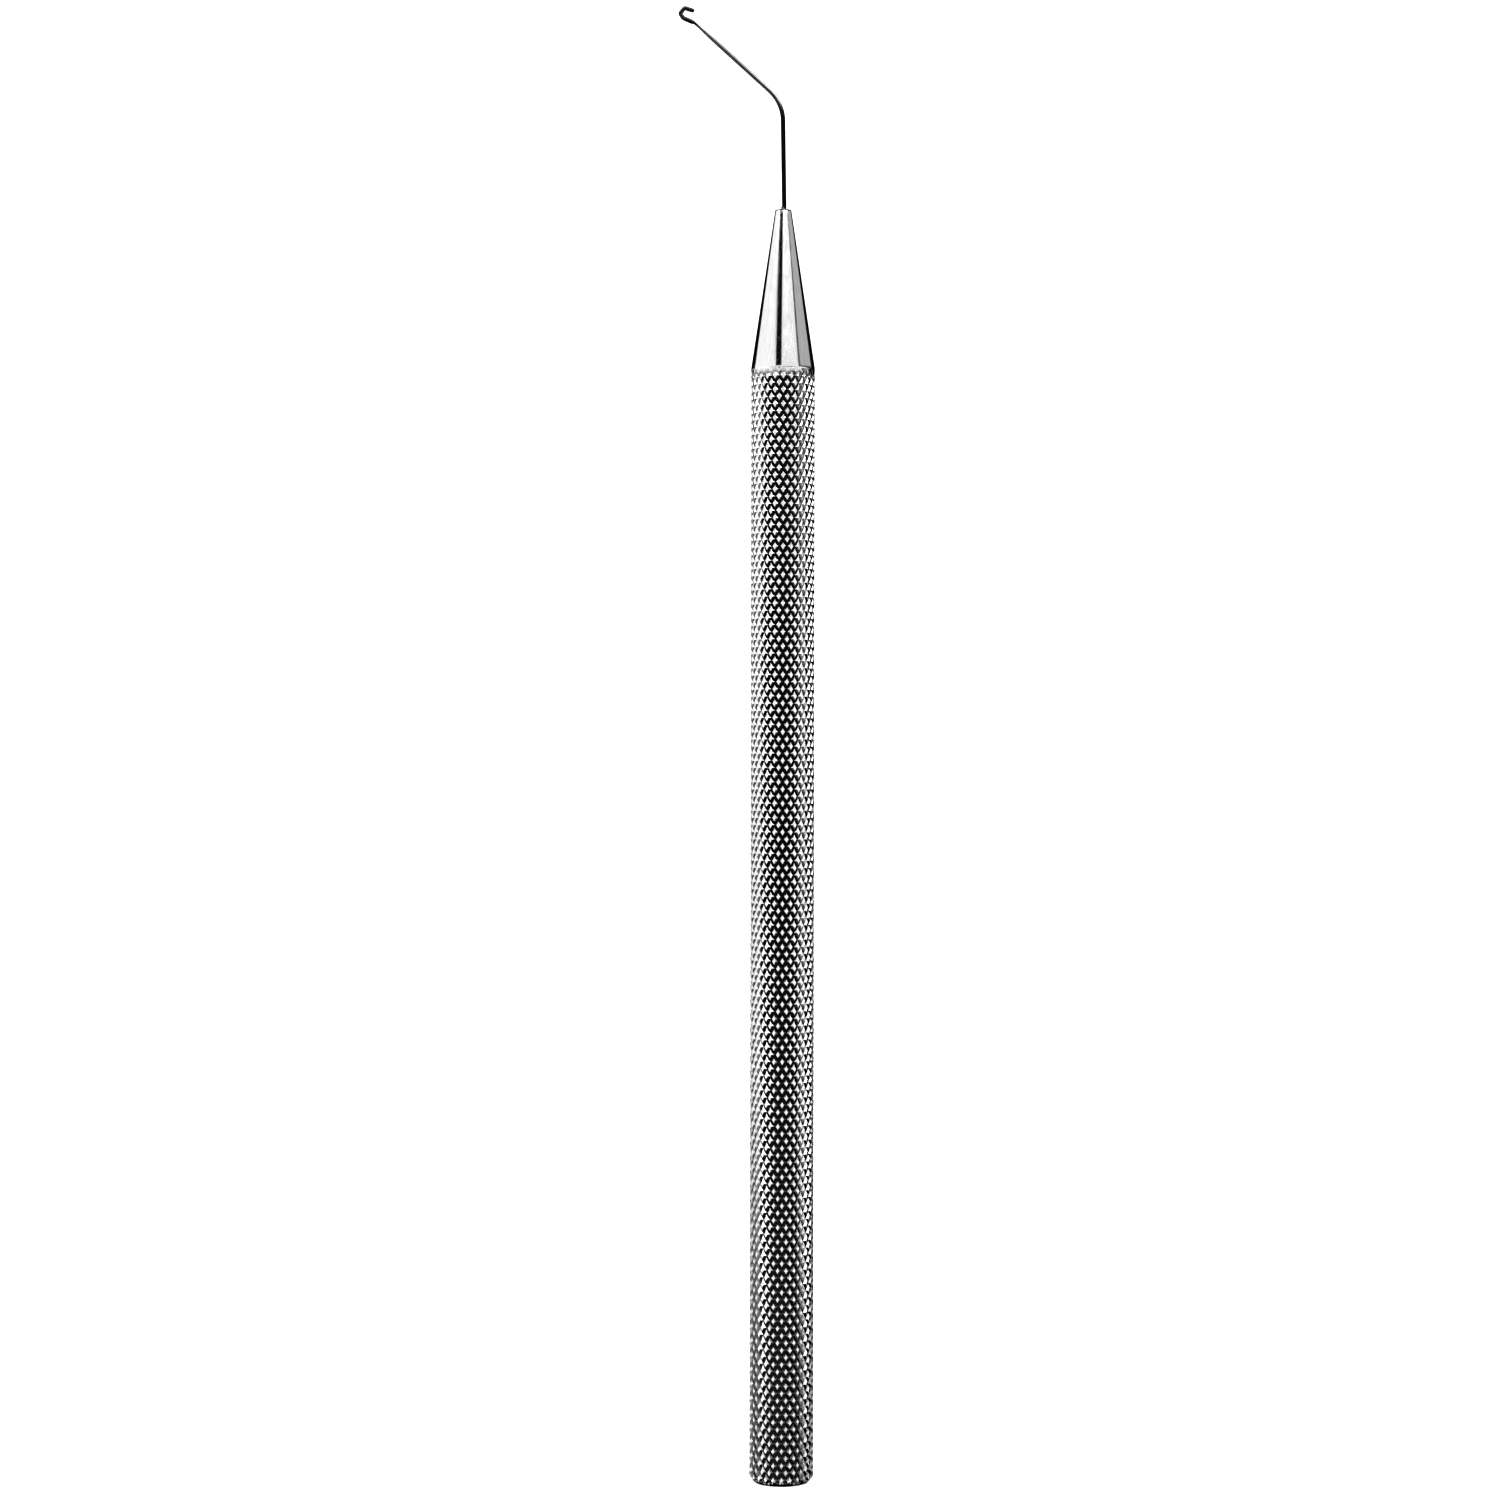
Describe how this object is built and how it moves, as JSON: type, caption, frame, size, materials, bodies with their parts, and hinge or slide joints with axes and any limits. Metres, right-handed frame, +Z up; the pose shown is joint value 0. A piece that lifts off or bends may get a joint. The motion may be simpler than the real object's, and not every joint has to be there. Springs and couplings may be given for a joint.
{
  "type": "dental explorer",
  "caption": "Straight hand instrument: round knurled handle, tapered nose and a thin bent wire that ends in a very small open hook.",
  "frame": {"origin": "centre of the handle's flat butt end", "axes": "+Z up the handle towards the tip, -X the side that the wire bends and hooks to, -Y the front"},
  "size_m": [0.014, 0.0066, 0.1499],
  "materials": {
    "knurled_steel": "stainless steel, diamond knurled and polished",
    "polished_steel": "stainless steel, turned and polished bright",
    "plug_steel": "stainless steel, faced with fine turning rings",
    "spring_steel": "hard drawn stainless spring wire, satin, darker than the handle",
    "silver_braze": "silver braze, dull and slightly darkened by heat"
  },
  "bodies": {
    "root": {"handle_tube": "knurled_steel", "nose_cone": "polished_steel", "butt_plug": "plug_steel", "hook_wire": "spring_steel", "braze_fillet": "silver_braze"}
  },
  "joints": []
}
